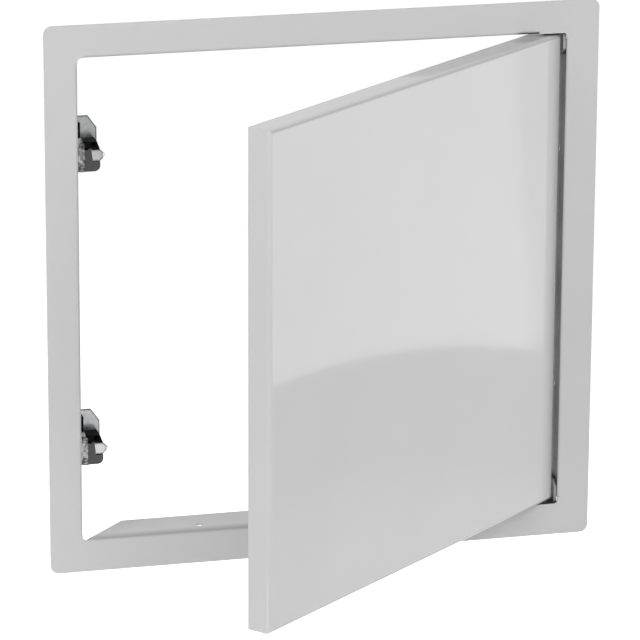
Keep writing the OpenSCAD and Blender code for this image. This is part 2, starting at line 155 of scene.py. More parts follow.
class CoatSettings(bpy.types.PropertyGroup):
    """Powder coat on the frame, the door and the hinge brackets"""

    color: FloatVectorProperty(
        name="Colour", description="Colour of the coat", subtype="COLOR", size=3,
        min=0, max=1, default=(0.7, 0.7, 0.7))
    shade: FloatVectorProperty(
        name="Thin coat", description="Colour where the coat lies a little thinner",
        subtype="COLOR", size=3, min=0, max=1, default=(0.68, 0.68, 0.68))
    peel: FloatProperty(
        name="Orange peel", description="Width of the ripples in the coat", unit="LENGTH",
        min=0.0002, max=0.01, default=1.8 * MM)
    peel_height: FloatProperty(
        name="Peel height", description="Height of the ripples in the coat", unit="LENGTH",
        min=0, max=0.001, default=0.0012 * MM)
    bow: FloatProperty(
        name="Bow", description="Height of the slow wave in the door's sheet", unit="LENGTH",
        min=0, max=0.01, default=1.55 * MM)
    crest: FloatProperty(
        name="Crest",
        description="Place of the wave's crest, from the door's middle to its hinge edge",
        subtype="FACTOR", min=-1, max=1, default=0.38)
    gloss: FloatProperty(
        name="Door roughness", description="Roughness of the glossy coat on the door",
        subtype="FACTOR", min=0, max=1, default=0.045)
    gloss_shine: FloatProperty(
        name="Door shine", description="Specular level of the glossy coat on the door",
        subtype="FACTOR", min=0, max=1, default=0.42)
    satin: FloatProperty(
        name="Frame roughness", description="Roughness of the satin coat on frame and brackets",
        subtype="FACTOR", min=0, max=1, default=0.45)
    satin_shine: FloatProperty(
        name="Frame shine", description="Specular level of the satin coat on frame and brackets",
        subtype="FACTOR", min=0, max=1, default=0.12)
    # Painted shade: the coat is darkened on the door's level bends
    painted_bend_shade: FloatVectorProperty(
        name="Bend shade", description="Colour of the coat on the door's level bends",
        subtype="COLOR", size=3, min=0, max=1, default=(0.48, 0.48, 0.48))
    # Painted shade: the coat is darkened along the fold behind the flange
    painted_fold_shade: FloatVectorProperty(
        name="Fold shade", description="Colour of the coat along the fold behind the flange",
        subtype="COLOR", size=3, min=0, max=1, default=(0.42, 0.42, 0.42))
    fold_end: FloatProperty(
        name="Fold end", description="Place along y where the fold's shade has faded",
        unit="LENGTH", min=0.001, max=0.03, default=9 * MM)
    # Painted shade: the coat is darkened in narrow gaps, where other faces stand close
    painted_gap_shade: FloatVectorProperty(
        name="Gap shade", description="Colour of the coat in narrow gaps", subtype="COLOR", size=3,
        min=0, max=1, default=(0.03, 0.03, 0.03))
    gap_reach: FloatProperty(
        name="Gap reach", description="How near other faces stand in a narrow gap", unit="LENGTH",
        min=0.001, max=0.05, default=12 * MM)


class MetalSettings(bpy.types.PropertyGroup):
    """Plated metal of latches, keepers and hinge pins"""

    zinc: FloatVectorProperty(
        name="Zinc", description="Colour of the zinc plate", subtype="COLOR", size=3,
        min=0, max=1, default=(0.46, 0.463, 0.468))
    zinc_dull: FloatVectorProperty(
        name="Dull zinc", description="Colour of the duller patches of the zinc plate",
        subtype="COLOR", size=3, min=0, max=1, default=(0.4, 0.403, 0.41))
    strap: FloatVectorProperty(
        name="Stained zinc", description="Colour of the dark stains on latch straps and screws",
        subtype="COLOR", size=3, min=0, max=1, default=(0.05, 0.05, 0.052))
    grain: FloatProperty(
        name="Grain", description="Width of the patches in the zinc plate", unit="LENGTH",
        min=0.0002, max=0.02, default=2.2 * MM)
    dark: FloatVectorProperty(
        name="Dark steel", description="Colour of the phosphated latch covers", subtype="COLOR",
        size=3, min=0, max=1, default=(0.08, 0.08, 0.083))
    nickel: FloatVectorProperty(
        name="Nickel", description="Colour of the nickel-plated tongues", subtype="COLOR", size=3,
        min=0, max=1, default=(0.52, 0.517, 0.51))
    # Painted dark reflection and shade along the edges of the plated metal parts
    shaded: FloatVectorProperty(
        name="Worn edge", description="Colour of the dark, worn metal along edges",
        subtype="COLOR", size=3, min=0, max=1, default=(0.05, 0.05, 0.052))
    # Width of the painted dark reflection and shade along metal edges
    edge: FloatProperty(
        name="Edge width", description="Width of the worn metal along sheared edges", unit="LENGTH",
        min=0.0001, max=0.005, default=2 * MM)


class PlasticSettings(bpy.types.PropertyGroup):
    """Moulded latch housings and hinge bushes"""

    housing: FloatVectorProperty(
        name="Housing", description="Colour of the latch housings", subtype="COLOR", size=3,
        min=0, max=1, default=(0.008, 0.008, 0.009))
    bush: FloatVectorProperty(
        name="Bush", description="Colour of the hinge bushes", subtype="COLOR", size=3,
        min=0, max=1, default=(0.03, 0.03, 0.032))
    texture: FloatProperty(
        name="Texture", description="Width of the moulded texture", unit="LENGTH",
        min=0.0001, max=0.005, default=0.35 * MM)


class SpringSettings(bpy.types.PropertyGroup):
    """Coil springs behind the latch tongues"""

    wire: FloatProperty(
        name="Wire", description="Diameter of the wire", unit="LENGTH",
        min=0.0002, max=0.001, default=0.6 * MM)
    turns: FloatProperty(
        name="Turns", description="Number of turns", min=3, max=8, default=5.5)
    closed: FloatProperty(
        name="Closed turns", description="Turns that lie flat at each end",
        min=0.5, max=1.5, default=1)


class FastenerSettings(bpy.types.PropertyGroup):
    """Studs, nuts, rivets and weld marks"""

    pitch: FloatProperty(
        name="Thread pitch", description="Pitch of the stud threads", unit="LENGTH",
        min=0.0003, max=0.001, default=0.5 * MM)
    thread: FloatProperty(
        name="Thread depth", description="Depth of the stud threads", unit="LENGTH",
        min=0.0001, max=0.0005, default=0.3 * MM)
    rivet_head: FloatProperty(
        name="Rivet head", description="Height of a rivet's domed heads", unit="LENGTH",
        min=0.0005, max=0.002, default=1.1 * MM)
    rivet_shank: FloatProperty(
        name="Rivet shank", description="Diameter of a rivet's shank", unit="LENGTH",
        min=0.001, max=0.004, default=2.4 * MM)
    mandrel: FloatProperty(
        name="Mandrel", description="Diameter of the broken stem in a blind rivet", unit="LENGTH",
        min=0.0005, max=0.002, default=1.3 * MM)
    weld: FloatProperty(
        name="Spot weld", description="Diameter of a spot weld's mark", unit="LENGTH",
        min=0.002, max=0.008, default=4.6 * MM)
    weld_rim: FloatProperty(
        name="Weld rim", description="Height of the rim round a spot weld's mark", unit="LENGTH",
        min=0.00005, max=0.0005, default=0.15 * MM)
    welds: IntProperty(
        name="Welds", description="Spot welds on the long leg of a hinge bracket",
        min=1, max=4, default=2)


class StageSettings(bpy.types.PropertyGroup):
    """Camera, lamps and floor"""

    camera: FloatVectorProperty(
        name="Camera", description="Place of the camera", subtype="TRANSLATION", size=3,
        default=(-0.6235, -2.4872, 0.7585))
    aim: FloatVectorProperty(
        name="Aim", description="Point at the middle of the picture", subtype="TRANSLATION", size=3,
        default=(-0.0023, 0, -0.0207))
    roll: FloatProperty(
        name="Roll", description="Turn of the camera about its line of sight", subtype="ANGLE",
        default=math.radians(0.276))
    lens: FloatProperty(
        name="Lens", description="Focal length in millimetres", min=20, max=600, default=248.8)
    floor: FloatProperty(
        name="Floor", description="Height of the floor", unit="LENGTH", default=-0.6)
    key: FloatProperty(
        name="Key lamp", description="Power of the lamp at the upper left", unit="POWER",
        min=0, default=10.3)
    front: FloatProperty(
        name="Front lamp", description="Power of the large lamp above the camera", unit="POWER",
        min=0, default=15.4)
    low: FloatProperty(
        name="Low lamp", description="Power of the small lamp at the lower left", unit="POWER",
        min=0, default=0.6)
    side: FloatProperty(
        name="Side lamp", description="Power of the tall lamp at the hinge side", unit="POWER",
        min=0, default=6.9)
    rear_side: FloatProperty(
        name="Rear side lamp", description="Power of the dimmer lamp behind the side lamp",
        unit="POWER", min=0, default=1.9)
    back: FloatProperty(
        name="Back lamp", description="Power of the lamp behind the hinge side", unit="POWER",
        min=0, default=11)
    inner: FloatProperty(
        name="Inner lamp", description="Power of the lamp behind the latch side", unit="POWER",
        min=0, default=4.5)
    sky: FloatProperty(
        name="Sky", description="Strength of the even light from all round",
        min=0, max=1, default=0.1)


class PanelSettings(bpy.types.PropertyGroup):
    """All settings of the access panel"""

    coat: PointerProperty(type=CoatSettings)
    metal: PointerProperty(type=MetalSettings)
    plastic: PointerProperty(type=PlasticSettings)
    spring: PointerProperty(type=SpringSettings)
    fastener: PointerProperty(type=FastenerSettings)
    stage: PointerProperty(type=StageSettings)


def node_points(name):
    """Corners of a CAD node's mesh as one array of points."""
    vertices = frame["nodes"][name].data.vertices
    points = np.empty(len(vertices) * 3, np.float32)
    vertices.foreach_get("co", points)
    return points.reshape(-1, 3).astype(float)


def swing(points, angle):
    """Points turned about the door's hinge: in plan, x and y about the pivot by the angle."""
    cos, sin = math.cos(angle), math.sin(angle)
    turn = np.array([[cos, sin, 0], [-sin, cos, 0], [0, 0, 1]])
    return (points - PIVOT) @ turn + PIVOT


def middle(points):
    """Middle and size of the box round some points."""
    low, high = points.min(axis=0), points.max(axis=0)
    return (low + high) / 2, high - low


def split(points, axis):
    """The points on either side of the middle of their box along one axis."""
    upper = points[:, axis] > middle(points)[0][axis]
    return points[~upper], points[upper]


def grid_faces(rows, columns, first=0):
    """Quads between each row of a grid and the next, with each row closed into a ring."""
    row, column = np.meshgrid(np.arange(rows - 1), np.arange(columns), indexing="ij")
    beside = (column + 1) % columns
    corners = (row * columns + column, row * columns + beside,
               (row + 1) * columns + beside, (row + 1) * columns + column)
    return first + np.stack(corners, axis=-1).reshape(-1, 4)


def rings(places, radii, columns):
    """Turned surface along z: ring k stands at height places[k] with radius radii[k]."""
    around = np.linspace(0, 2 * np.pi, columns, endpoint=False)
    radii = np.broadcast_to(np.asarray(radii, float).T, (columns, len(places))).T
    heights = np.broadcast_to(np.asarray(places, float)[:, None], radii.shape)
    return np.stack([radii * np.cos(around), radii * np.sin(around), heights], axis=-1)


def axes_along(direction):
    """Three unit vectors as rows, the last one along a direction.

    The first lies level, or straight across x where the direction is nearly upright.
    """
    along = np.asarray(direction, float) / np.linalg.norm(direction)
    across = np.cross(along, (0, 0, 1) if abs(along[2]) < 0.9 else (1, 0, 0))
    across /= np.linalg.norm(across)
    return np.array([across, np.cross(along, across), along])


def stand(surface, place, direction):
    """A surface made along z, stood on a place with its z axis along a direction."""
    return surface @ axes_along(direction) + place


def close_seams(mesh):
    """Joins points that lie on each other, to close poles and seams, and turns faces outwards."""
    shape = bmesh.new()
    shape.from_mesh(mesh)
    bmesh.ops.remove_doubles(shape, verts=shape.verts, dist=SEAM_GAP)
    bmesh.ops.dissolve_degenerate(shape, edges=shape.edges, dist=SEAM_GAP)
    bmesh.ops.recalc_face_normals(shape, faces=shape.faces)
    shape.to_mesh(mesh)
    shape.free()


def build(name, surfaces, body, material, replaces=()):
    """One piece from grids of rings, ridden on a body and finished with a material."""
    points, faces, first = [], [], 0
    for surface in surfaces:
        rows, columns = surface.shape[:2]
        points.append(surface.reshape(-1, 3))
        faces.append(grid_faces(rows, columns, first))
        first += rows * columns
    mesh = bpy.data.meshes.new(name)
    mesh.from_pydata(np.concatenate(points).tolist(), [], np.concatenate(faces).tolist())
    close_seams(mesh)
    mesh.polygons.foreach_set("use_smooth", np.ones(len(mesh.polygons), bool))
    mesh.set_sharp_from_angle(angle=SHARP_ANGLE)
    mesh.update()
    mesh.materials.append(material)
    piece = bpy.data.objects.new(name, mesh)
    bpy.context.scene.collection.objects.link(piece)
    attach(piece, body)
    if replaces:
        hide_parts(*replaces)
    return piece


def finish_nodes(material, *names):
    """Gives CAD nodes one material in all their slots."""
    for name in names:
        materials = frame["nodes"][name].data.materials
        materials.clear()
        materials.append(material)


class Chain:
    """Short ways to add nodes to a node tree and to join them."""

    def __init__(self, tree):
        self.nodes = tree.nodes
        self.links = tree.links

    def feed(self, socket, value):
        """Sets a socket to a plain value, or links it to another node's output."""
        if isinstance(value, bpy.types.NodeSocket):
            self.links.new(value, socket)
        else:
            socket.default_value = value

    def combine(self, operation, *values):
        """Result of one sum on levels or plain numbers."""
        node = self.nodes.new("ShaderNodeMath")
        node.operation = operation
        for socket, value in zip(node.inputs, values):
            self.feed(socket, value)
        return node.outputs[0]

    def ramp(self, level, start, end, low=0, high=1):
        """Level that goes from low to high as another goes from start to end, and stops there."""
        node = self.nodes.new("ShaderNodeMapRange")
        node.inputs["From Min"].default_value = start
        node.inputs["From Max"].default_value = end
        node.inputs["To Min"].default_value = low
        node.inputs["To Max"].default_value = high
        self.links.new(level, node.inputs["Value"])
        return node.outputs["Result"]

    def peak(self, level, start, crest, end):
        """Level that rises from 0 at start to 1 at crest and falls back to 0 at end."""
        node = self.nodes.new("ShaderNodeValToRGB")
        stops = node.color_ramp.elements
        stops[0].position = start
        stops[1].position = crest
        stops.new(end).color = (0, 0, 0, 1)
        self.links.new(level, node.inputs["Fac"])
        return node.outputs["Color"]

    def part(self, vector, axis):
        """X, Y or Z of a vector."""
        node = self.nodes.new("ShaderNodeSeparateXYZ")
        self.links.new(vector, node.inputs["Vector"])
        return node.outputs[axis]

    def mixed(self, level, first, second):
        """Colour that goes from a first, plain or another node's, to a second one with a level."""
        node = self.nodes.new("ShaderNodeMix")
        node.data_type = "RGBA"
        self.feed(node.inputs["A"], first)
        self.feed(node.inputs["B"], second)
        self.links.new(level, node.inputs["Factor"])
        return node.outputs["Result"]


class Finish(Chain):
    """A node material with one Principled shader and the node chains that the finishes share."""

    def __init__(self, name):
        self.material = bpy.data.materials.new(name)
        self.material.use_nodes = True
        super().__init__(self.material.node_tree)
        self.shader = self.nodes["Principled BSDF"]
        self.place = self.nodes.new("ShaderNodeTexCoord").outputs["Object"]

    def set(self, **values):
        """Sets sockets of the shader by name, with _ for a space."""
        for name, value in values.items():
            self.shader.inputs[name.replace("_", " ")].default_value = value

    def stretched(self, *scale):
        """Object coordinates scaled differently along each axis."""
        mapping = self.nodes.new("ShaderNodeMapping")
        mapping.inputs["Scale"].default_value = scale
        self.links.new(self.place, mapping.inputs["Vector"])
        return mapping.outputs["Vector"]

    def facing(self, axis):
        """X, Y or Z of the surface's normal."""
        return self.part(self.nodes.new("ShaderNodeNewGeometry").outputs["Normal"], axis)

    def noise(self, width, detail=2.0, place=None):
        """Cloudy noise with blobs of a given width in metres."""
        noise = self.nodes.new("ShaderNodeTexNoise")
        noise.inputs["Scale"].default_value = 1 / width
        noise.inputs["Detail"].default_value = detail
        self.links.new(place or self.place, noise.inputs["Vector"])
        return noise.outputs["Fac"]

    def cells(self, width):
        """Flat grains of a given width, each with its own level."""
        cells = self.nodes.new("ShaderNodeTexVoronoi")
        cells.inputs["Scale"].default_value = 1 / width
        self.links.new(self.place, cells.inputs["Vector"])
        return cells.outputs["Color"]

    def color(self, level, first, second):
        """Base colour that goes from a first to a second colour with a level."""
        mixed = self.mixed(level, (*first, 1), (*second, 1))
        self.links.new(mixed, self.shader.inputs["Base Color"])

    def clouds(self, first, second, width, detail=2.0):
        """Base colour in clouds of a given width, between a first and a second colour."""
        self.color(self.ramp(self.noise(width, detail), *CLOUD_RANGE), first, second)

    def lay(self, level, color):
        """Lays another colour over the base colour that is there, as far as a level says."""
        base = self.shader.inputs["Base Color"]
        self.links.new(self.mixed(level, base.links[0].from_socket, (*color, 1)), base)

    def paint_edge_shade(self, width, color):
        """Lays painted dark reflection and shade, in another colour, along the edges.

        The level follows the turn between the true normal and one rounded over a width: it is 0 on
        the flats, where the two agree, and rises to 1 along an edge.
        """
        rounded = self.nodes.new("ShaderNodeBevel")
        rounded.samples = EDGE_RAYS
        rounded.inputs["Radius"].default_value = width
        true = self.nodes.new("ShaderNodeNewGeometry")
        turn = self.nodes.new("ShaderNodeVectorMath")
        turn.operation = "DOT_PRODUCT"
        self.links.new(rounded.outputs["Normal"], turn.inputs[0])
        self.links.new(true.outputs["True Normal"], turn.inputs[1])
        self.lay(self.ramp(turn.outputs["Value"], *EDGE_TURN), color)

    def gaps(self, reach, color):
        """Lays painted shade, a darker colour, into narrow gaps, where other faces stand close
        within a reach.
        """
        openness = self.nodes.new("ShaderNodeAmbientOcclusion")
        openness.samples = GAP_RAYS
        openness.inputs["Distance"].default_value = reach
        self.lay(self.ramp(openness.outputs["AO"], *GAP_OPENNESS), color)

    def paint_fold_shade(self, front, end, color):
        """Lays painted shade, a darker colour, along a fold behind a flange.

        The level is 0 on the flange's front, rises to 1 just behind it and fades to 0 at an end
        along y. It is 0 on faces that look straight back.
        """
        depth = self.ramp(self.part(self.place, "Y"), front, end)
        aside = self.ramp(self.facing("Y"), *LOOKING_BACK)
        self.lay(self.combine("MULTIPLY", self.peak(depth, *FOLD_FADE), aside), color)

    def paint_bend_shade(self, color):
        """Lays painted shade, a darker colour, on bends along level edges.

        The level follows the upright part of the normal, up or down: it is 0 where the surface
        stands upright or lies flat, and 1 between.
        """
        self.lay(self.peak(self.combine("ABSOLUTE", self.facing("Z")), *BEND_LEAN), color)

    def wave(self, centre, turn, half):
        """Level z times (1 - x squared), with x and z from -1 to 1 over a plate turned about z."""
        mapping = self.nodes.new("ShaderNodeMapping")
        mapping.vector_type = "TEXTURE"
        mapping.inputs["Location"].default_value = centre
        mapping.inputs["Rotation"].default_value = (0, 0, turn)
        mapping.inputs["Scale"].default_value = half
        self.links.new(self.place, mapping.inputs["Vector"])
        across, upright = (self.part(mapping.outputs["Vector"], axis) for axis in "XZ")
        crown = self.combine("SUBTRACT", 1, self.combine("MULTIPLY", across, across))
        return self.combine("MULTIPLY", crown, upright)

    def roughness(self, width, low, high):
        """Roughness in clouds of a given width, from low to high."""
        level = self.ramp(self.noise(width), *CLOUD_RANGE, low, high)
        self.links.new(level, self.shader.inputs["Roughness"])

    def bump(self, level, height):
        """Small relief of a given height in metres, on top of any relief that is there already."""
        bump = self.nodes.new("ShaderNodeBump")
        bump.inputs["Distance"].default_value = height
        self.links.new(level, bump.inputs["Height"])
        normal = self.shader.inputs["Normal"]
        if normal.is_linked:
            self.links.new(normal.links[0].from_socket, bump.inputs["Normal"])
        self.links.new(bump.outputs["Normal"], normal)


def toned(color, share):
    """A colour made darker or brighter by a share."""
    return [share * part for part in color]


def powder_coat(name, settings, roughness, shine):
    """White coat with orange peel and slow changes in thickness."""
    finish = Finish(name)
    finish.set(Specular_IOR_Level=shine)
    finish.clouds(settings.shade, settings.color, width=90 * MM)
    finish.roughness(width=20 * MM, low=0.85 * roughness, high=1.15 * roughness)
    finish.bump(finish.noise(settings.peel, detail=1.0), settings.peel_height)
    return finish


def zinc_plate(name, settings, dull, edge):
    """Zinc with bright and duller patches, fine rolling lines and painted dark reflection and shade
    along its edges.
    """
    finish = Finish(name)
    finish.set(Metallic=1.0)
    finish.clouds(dull, settings.zinc, settings.grain, detail=3.0)
    # Painted dark reflection and shade along the edges
    finish.paint_edge_shade(edge, settings.shaded)
    finish.roughness(width=4 * MM, low=0.24, high=0.4)
    rolling_lines = finish.noise(width=0.6 * MM, place=finish.stretched(1, 1, 0.06))
    finish.bump(rolling_lines, height=0.006 * MM)
    return finish.material


def dark_steel(settings):
    """Phosphated steel, dark and dull, with fine crystals and a few brighter rubbed patches."""
    finish = Finish("dark_steel")
    finish.set(Metallic=0.55)
    crystals = finish.cells(width=0.5 * MM)
    finish.color(crystals, toned(settings.dark, 0.8), toned(settings.dark, 1.25))
    finish.roughness(width=3 * MM, low=0.38, high=0.55)
    finish.bump(finish.noise(width=0.4 * MM), height=0.006 * MM)
    return finish.material


def nickel_plate(settings):
    """Nickel on a die casting, with faint casting skin, small changes in gloss and painted dark
    reflection and shade along its edges.
    """
    finish = Finish("nickel_plate")
    finish.set(Metallic=1.0)
    finish.clouds(toned(settings.nickel, 0.9), settings.nickel, width=3 * MM)
    # Painted dark reflection and shade along the edges
    finish.paint_edge_shade(settings.edge, settings.shaded)
    finish.roughness(width=2 * MM, low=0.14, high=0.24)
    finish.bump(finish.noise(width=0.8 * MM), height=0.004 * MM)
    return finish.material


def housing_plastic(settings):
    """Black moulded plastic with a fine spark-eroded texture."""
    finish = Finish("housing_plastic")
    finish.set(Specular_IOR_Level=0.01)
    finish.clouds(settings.housing, toned(settings.housing, 1.35), width=4 * MM)
    finish.roughness(width=1.5 * MM, low=0.42, high=0.56)
    finish.bump(finish.noise(settings.texture, detail=3.0), height=0.02 * MM)
    return finish.material


def bush_plastic(settings):
    """Black nylon, slightly waxy."""
    finish = Finish("bush_plastic")
    finish.set(Specular_IOR_Level=0.3)
    finish.clouds(settings.bush, toned(settings.bush, 1.3), width=3 * MM)
    finish.roughness(width=2 * MM, low=0.36, high=0.46)
    finish.bump(finish.noise(settings.texture), height=0.006 * MM)
    return finish.material


def coil_tube(start, length, coil_r, wire_r, turns, closed):
    """Wire wound along x from a start point, as a tube of rings.

    The line goes round x at the coil radius. Over the closed turns at each end it advances by one
    wire thickness a turn, and over the rest by an even pitch. Ring k stands across the line there,
    and the first and last rings shrink to a point.
    """
    steps = int(WIRE_STEPS_PER_TURN * turns) + 1
    turn = np.linspace(0, turns, steps)
    flat, whole = 2 * wire_r * closed, length - 2 * wire_r
    advance = np.interp(turn, [0, closed, turns - closed, turns], [0, flat, whole - flat, whole])
    angle = 2 * np.pi * turn
    outward = np.stack([np.zeros(steps), np.cos(angle), np.sin(angle)], axis=1)
    line = start + coil_r * outward
    line[:, 0] += wire_r + advance
    along = np.gradient(line, axis=0)
    along /= np.linalg.norm(along, axis=1, keepdims=True)
    aside = np.cross(along, outward)
    around = np.linspace(0, 2 * np.pi, WIRE_SIDES, endpoint=False)[:, None]
    ring = outward[:, None] * np.cos(around) + aside[:, None] * np.sin(around)
    width = np.full(steps, wire_r)
    width[[0, -1]] = 0
    return line[:, None] + ring * width[:, None, None]


def thread_rod(length, radius, pitch, depth):
    """Threaded rod along z with a chamfered tip.

    The radius at a height and an angle is the outer radius less the thread's depth times a triangle
    wave with flattened tops and bottoms, which rises by one pitch a turn. A cone at the tip limits
    it, and both ends close to a point.
    """
    heights = np.linspace(0, length, int(THREAD_STEPS_PER_PITCH * length / pitch) + 1)
    around = np.linspace(0, 1, THREAD_SIDES, endpoint=False)
    phase = (heights[:, None] / pitch - around) % 1
    wave = np.clip(THREAD_SLOPE * np.abs(2 * phase - 1) - THREAD_CREST, 0, 1)
    cone = radius - THREAD_TIP * depth + (length - heights[:, None])
    radii = np.minimum(radius - depth * wave, cone)
    heights = np.concatenate([[0], heights, [length]])
    closed = np.zeros((1, THREAD_SIDES))
    return rings(heights, np.concatenate([closed, radii, closed]), THREAD_SIDES)


def hex_nut(flats, height, bore_r):
    """Hexagon nut along z with both faces chamfered.

    The radius round a hexagon is half the width over flats divided by the cosine of the angle from
    the middle of a flat. A cone cuts the corners, so the edge stands lower where that radius is
    larger. The profile runs along the bottom, up the flats, in over the top and down the bore.
    """
    around = np.linspace(0, 2 * np.pi, NUT_SIDES, endpoint=False)
    hexagon = flats / 2 / np.cos((around + np.pi / 6) % (np.pi / 3) - np.pi / 6)
    land = NUT_LAND * flats / 2
    drop = (hexagon - land) * math.tan(NUT_CHAMFER)
    sink = NUT_COUNTERSINK * flats
    profile = (
        (bore_r, sink), (bore_r + sink, 0), (land, 0), (hexagon, drop), (hexagon, height - drop),
        (land, height), (bore_r + sink, height), (bore_r, height - sink), (bore_r, sink),
    )
    radii, heights = (
        np.array([np.broadcast_to(corner[part], NUT_SIDES) for corner in profile])
        for part in (0, 1))
    return np.stack([radii * np.cos(around), radii * np.sin(around), heights], axis=-1)


def rivet_turning(grip, head_r, head_h, shank_r, stem_r):
    """Blind rivet along z, turned from a profile.

    Both heads are low domes, whose height falls with the square of the radius. The front one has
    the broken stem standing in a hole, and the shank joins the heads over the grip.
    """
    dome = np.linspace(1, 0, DOME_STEPS)
    back_r, back_z = head_r * dome[::-1], -head_h * (1 - dome[::-1] ** 2)
    hole_r, hole_z = 1.25 * stem_r, grip - 0.3 * head_h
    tip_r, tip_z = 0.8 * stem_r, grip + 0.55 * head_h
    front_r = hole_r + (head_r - hole_r) * dome
    front_z = grip + head_h * (1 - (front_r / head_r) ** 2)
    radii = np.concatenate([back_r, [shank_r, shank_r], front_r,
                            [hole_r, stem_r, stem_r, tip_r, 0]])
    places = np.concatenate([back_z, [0, grip], front_z,
                             [hole_z, hole_z, tip_z - (stem_r - tip_r), tip_z, tip_z]])
    return rings(places, radii[:, None], TURNED_SIDES)


def weld_mark(radius, height):
    """Mark of a spot weld along z: a raised rim round a shallow dish, both smooth in the radius."""
    share = np.array([1, 0.97, 0.9, 0.82, 0.7, 0.5, 0.25, 0])
    rise = height * np.array([0, 0.6, 1, 0.85, 0.45, 0.3, 0.25, 0.25])
    return rings(rise, (radius * share)[:, None], TURNED_SIDES)


class PANEL_OT_sheet(bpy.types.Operator):
    """Coat the frame, the door and the hinge brackets"""

    bl_idname = "access_panel.sheet"
    bl_label = "Coat the sheet parts"

    def execute(self, context):
        settings = context.scene.access_panel.coat
        gloss = powder_coat("gloss_coat", settings, settings.gloss, settings.gloss_shine)
        centre, size = middle(swing(node_points("door_panel"), SWING_SHUT))
        crest = swing(centre + np.array([settings.crest * size[0] / 2, 0, 0]), -SWING_SHUT)
        gloss.bump(gloss.wave(crest, -SWING_SHUT, size / 2), settings.bow)
        # Painted shade on the door's bends along its top and bottom edges
        gloss.paint_bend_shade(settings.painted_bend_shade)
        finish_nodes(gloss.material, "door_panel")
        satin = powder_coat("satin_coat", settings, settings.satin, settings.satin_shine)
        # Painted shade along the folds behind the flange
        satin.paint_fold_shade(FLANGE_FRONT, settings.fold_end, settings.painted_fold_shade)
        # Painted shade in narrow gaps, where other faces stand close
        satin.gaps(settings.gap_reach, settings.painted_gap_shade)
        finish_nodes(satin.material, "frame", *(f"hinge_bracket_{end}" for end in ENDS))
        return {"FINISHED"}


class PANEL_OT_welds(bpy.types.Operator):
    """Mark the spot welds that hold the hinge brackets to the frame's returns"""

    bl_idname = "access_panel.welds"
    bl_label = "Mark the spot welds"

    def execute(self, context):
        settings = context.scene.access_panel.fastener
        mark = weld_mark(settings.weld / 2, settings.weld_rim)
        coat = bpy.data.materials["satin_coat"]
        for end, up in zip(ENDS, (1, -1)):
            low, high = (np.array(corner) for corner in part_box(f"hinge_bracket_{end}"))
            outer_z = high[2] if up > 0 else low[2]
            row = low[0] + np.linspace(*WELD_ROW, settings.welds) * (high[0] - low[0])
            places = [np.array([x, (low[1] + high[1]) / 2, outer_z]) for x in row]
            build(f"spot_welds_{end}", [stand(mark, place, (0, 0, up)) for place in places],
                  "frame", coat)
        return {"FINISHED"}


class PANEL_OT_hinges(bpy.types.Operator):
    """Finish the hinge pins and bushes"""

    bl_idname = "access_panel.hinges"
    bl_label = "Finish the hinges"

    def execute(self, context):
        settings = context.scene.access_panel
        metal = settings.metal
        zinc = zinc_plate("zinc_plate", metal, dull=metal.zinc_dull, edge=0.15 * metal.edge)
        finish_nodes(zinc, *(f"hinge_pin_{end}" for end in ENDS))
        finish_nodes(bush_plastic(settings.plastic), *(f"hinge_bush_{end}" for end in ENDS))
        return {"FINISHED"}


class PANEL_OT_latches(bpy.types.Operator):
    """Finish the latches' brackets, straps, covers, housings, screws and tongues"""

    bl_idname = "access_panel.latches"
    bl_label = "Finish the latches"

    def execute(self, context):
        settings = context.scene.access_panel
        metal = settings.metal
        stained = zinc_plate("stained_zinc", metal, dull=metal.strap, edge=0.5 * metal.edge)
        finishes = {
            "bracket": zinc_plate("sheared_zinc", metal, dull=metal.zinc_dull, edge=metal.edge),
            "strap": stained,
            "screws": stained,
            "cover": dark_steel(metal),
            "housing": housing_plastic(settings.plastic),
            "tongue": nickel_plate(metal),
        }
        for part, material in finishes.items():
            finish_nodes(material, *(f"latch_{part}_{level}" for level in LEVELS))
        return {"FINISHED"}


class PANEL_OT_springs(bpy.types.Operator):
    """Wind the springs behind the tongues"""

    bl_idname = "access_panel.springs"
    bl_label = "Wind the springs"

    def execute(self, context):
        settings = context.scene.access_panel.spring
        zinc = bpy.data.materials["zinc_plate"]
        wire_r = settings.wire / 2
        for level in LEVELS:
            node = f"latch_spring_{level}"
            low, high = (np.array(corner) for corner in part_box(node))
            length, across = high[0] - low[0], high[2] - low[2]
            start = np.array([low[0], *(low[1:] + high[1:]) / 2])
            coil_r = across / 2 - wire_r
            coil = coil_tube(start, length, coil_r, wire_r, settings.turns, settings.closed)
            piece = build(f"spring_{level}", [coil], "frame", zinc, (node,))
            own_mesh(piece)
        return {"FINISHED"}


class PANEL_OT_rivets(bpy.types.Operator):
    """Turn the blind rivets that hold the latch brackets"""

    bl_idname = "access_panel.rivets"
    bl_label = "Turn the rivets"

    def execute(self, context):
        settings = context.scene.access_panel.fastener
        zinc = bpy.data.materials["zinc_plate"]
        head_h = settings.rivet_head
        shank_r, stem_r = settings.rivet_shank / 2, settings.mandrel / 2
        for level in LEVELS:
            node = f"latch_rivets_{level}"
            turned = []
            for points in split(node_points(node), 2):
                centre, size = middle(points)
                grip = size[0] - 2 * head_h
                rivet = rivet_turning(grip, size[1] / 2, head_h, shank_r, stem_r)
                turned.append(stand(rivet, centre - np.array([grip / 2, 0, 0]), (1, 0, 0)))
            build(f"rivets_{level}", turned, "frame", zinc, (node,))
        return {"FINISHED"}


def on_door(node):
    """Foot and size of each of the four like solids in a node on the door.

    The size is that of the solid's box with the door shut, and the foot is the middle of that box's
    front, at the place where the door stands at rest.
    """
    shut = swing(node_points(node), SWING_SHUT)
    for half in split(shut, 2):
        for points in split(half, 0):
            centre, size = middle(points)
            yield swing(centre - np.array([0, size[1] / 2, 0]), -SWING_SHUT), size


